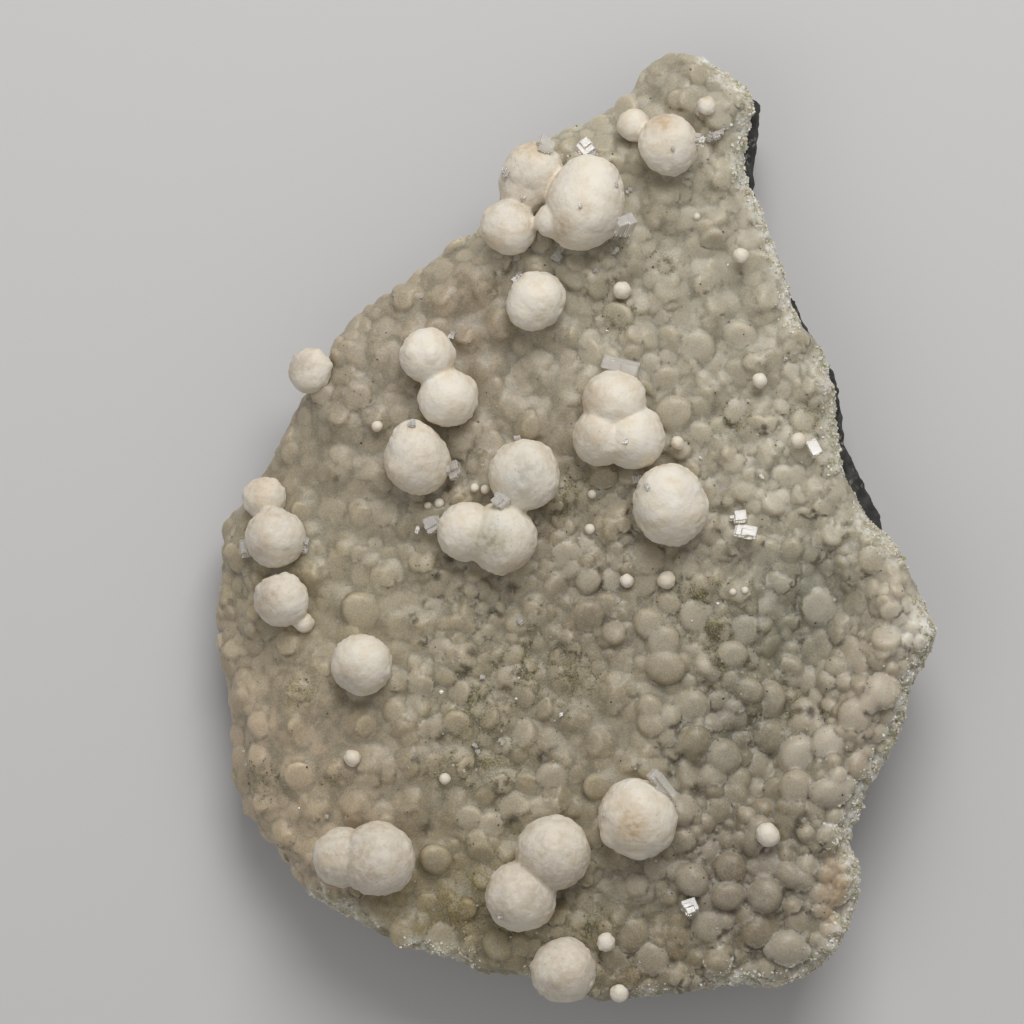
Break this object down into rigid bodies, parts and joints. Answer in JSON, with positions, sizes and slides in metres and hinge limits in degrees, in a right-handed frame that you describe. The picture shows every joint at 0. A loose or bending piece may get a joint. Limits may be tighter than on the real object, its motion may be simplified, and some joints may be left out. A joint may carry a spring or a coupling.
{
  "type": "gyrolite mineral specimen",
  "caption": "Mineral specimen: cream gyrolite balls and clear blocky crystals on a lumpy waxy chalcedony crust over a dark basalt slab, lying on its flat back.",
  "frame": {"origin": "centre of the specimen's outline, on the flat back that it lies on", "axes": "+Y up the specimen to its narrow end, +X to its right seen from the front, +Z out of the crust"},
  "size_m": [0.1737, 0.2292, 0.052],
  "materials": {
    "basalt": "rough broken dark basalt",
    "chalcedony": "waxy translucent grey-beige lumps",
    "gyrolite": "matt cream porcelain-like balls",
    "clear_crystal": "clear glassy crystal"
  },
  "bodies": {
    "root": {"basalt_matrix": "basalt", "chalcedony_crust": "chalcedony", "gyrolite_bottom": "gyrolite", "gyrolite_centre_right": "gyrolite", "gyrolite_crown": "gyrolite", "gyrolite_left_edge": "gyrolite", "gyrolite_left_field": "gyrolite", "gyrolite_left_high": "gyrolite", "gyrolite_left_low": "gyrolite", "gyrolite_left_mid": "gyrolite", "gyrolite_left_rim": "gyrolite", "gyrolite_low_left": "gyrolite", "gyrolite_low_middle": "gyrolite", "gyrolite_low_right": "gyrolite", "gyrolite_middle": "gyrolite", "gyrolite_right": "gyrolite", "gyrolite_upper": "gyrolite", "gyrolite_upper_middle": "gyrolite", "gyrolite_bead_01": "gyrolite", "gyrolite_bead_02": "gyrolite", "gyrolite_bead_03": "gyrolite", "gyrolite_bead_04": "gyrolite", "gyrolite_bead_05": "gyrolite", "gyrolite_bead_06": "gyrolite", "gyrolite_bead_07": "gyrolite", "gyrolite_bead_08": "gyrolite", "gyrolite_bead_09": "gyrolite", "gyrolite_bead_10": "gyrolite", "gyrolite_bead_11": "gyrolite", "gyrolite_bead_12": "gyrolite", "crystal_block_by_left_edge": "clear_crystal", "crystal_block_by_left_mid": "clear_crystal", "crystal_block_on_centre_right": "clear_crystal", "crystal_block_on_middle": "clear_crystal", "crystal_cube_above_right": "clear_crystal", "crystal_cube_below_right": "clear_crystal", "crystal_cube_by_right_bead": "clear_crystal", "crystal_cube_in_lower_field": "clear_crystal", "crystal_frame_on_low_right": "clear_crystal", "crystal_point_by_upper": "clear_crystal", "crystal_wedge_by_middle": "clear_crystal", "crystal_wedge_left_of_upper": "clear_crystal", "crystal_wedge_on_upper": "clear_crystal"}
  },
  "joints": []
}
